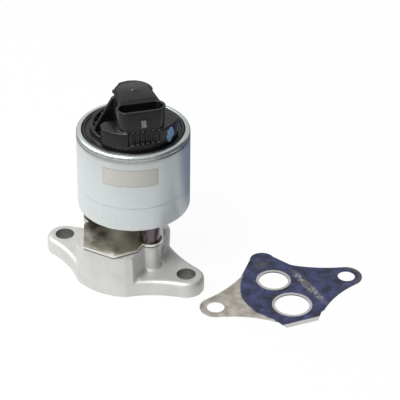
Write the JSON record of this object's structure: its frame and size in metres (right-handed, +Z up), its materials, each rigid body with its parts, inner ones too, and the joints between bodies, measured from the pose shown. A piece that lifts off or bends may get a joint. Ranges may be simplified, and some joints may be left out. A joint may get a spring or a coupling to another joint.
{
  "type": "egr valve",
  "caption": "Solenoid exhaust gas recirculation valve: cast foot with bolt ears, poppet on a stem, round can on spacers and a plastic head with connector socket, its foot gasket beside it",
  "frame": {"origin": "on the foot's sealing face, midway between the two mounting holes", "axes": "+X along the line of the two mounting holes towards the gasket, +Y towards the valve axis, +Z up along the valve axis"},
  "size_m": [0.1485, 0.0787, 0.0951],
  "materials": {
    "cast_body": "fine shot-blasted casting",
    "seat_steel": "turned stainless steel",
    "graphite": "graphite sheet",
    "dark_plate": "stamped steel, dark from the furnace",
    "plated_steel": "zinc plated",
    "bearing": "sintered carbon",
    "spacer_plating": "tinted by heat",
    "can_paint": "smooth silver paint",
    "pole_steel": "machined",
    "sleeve_brass": "drawn",
    "bobbin_plastic": "moulded",
    "winding_enamel": "enamelled copper wire",
    "spring_wire": "drawn wire",
    "pin_tin": "tin plated",
    "seal_rubber": "smooth",
    "cap_plastic": "glass-filled moulding",
    "board": "printed board",
    "gasket_coating": "thin blue coating on steel sheet"
  },
  "bodies": {
    "valve": {"valve_body": "cast_body", "valve_seat": "seat_steel", "cover_gasket": "graphite", "cover_plate": "dark_plate", "bearing_holder": "plated_steel", "shaft_bearing": "bearing", "deposit_shield": "plated_steel", "spacer_left": "spacer_plating", "spacer_rear": "spacer_plating", "spacer_right": "spacer_plating", "clamp_screws": "plated_steel", "solenoid_can": "can_paint", "lower_pole": "pole_steel", "upper_pole": "pole_steel", "armature_sleeve": "sleeve_brass", "coil_bobbin": "bobbin_plastic", "coil_winding": "winding_enamel", "return_spring": "spring_wire", "coil_terminals": "pin_tin", "cap_seal_ring": "seal_rubber", "connector_cap": "cap_plastic", "sensor_lid": "cap_plastic", "connector_pins": "pin_tin", "resistor_board": "board", "sensor_spring": "spring_wire", "flange_gasket": "gasket_coating"},
    "poppet": {"valve_stem": "seat_steel", "armature": "pole_steel"},
    "sensor": {"sensor_plunger": "plated_steel", "wiper_carrier": "bobbin_plastic", "wiper_contacts": "pin_tin"}
  },
  "joints": [
    {"name": "poppet_lift", "type": "slide", "parent": "valve", "child": "poppet", "axis": [0, 0, 1], "range_m": [0, 0.0045], "stiffness_N_per_m": 2000, "springref_m": -0.0075, "deforming": ["return_spring"]},
    {"name": "sensor_travel", "type": "slide", "parent": "valve", "child": "sensor", "axis": [0, 0, 1], "range_m": [0, 0.0045], "deforming": ["sensor_spring"]}
  ],
  "couplings": [
    {"joint": "sensor_travel", "follows": "poppet_lift", "ratio": 1}
  ]
}
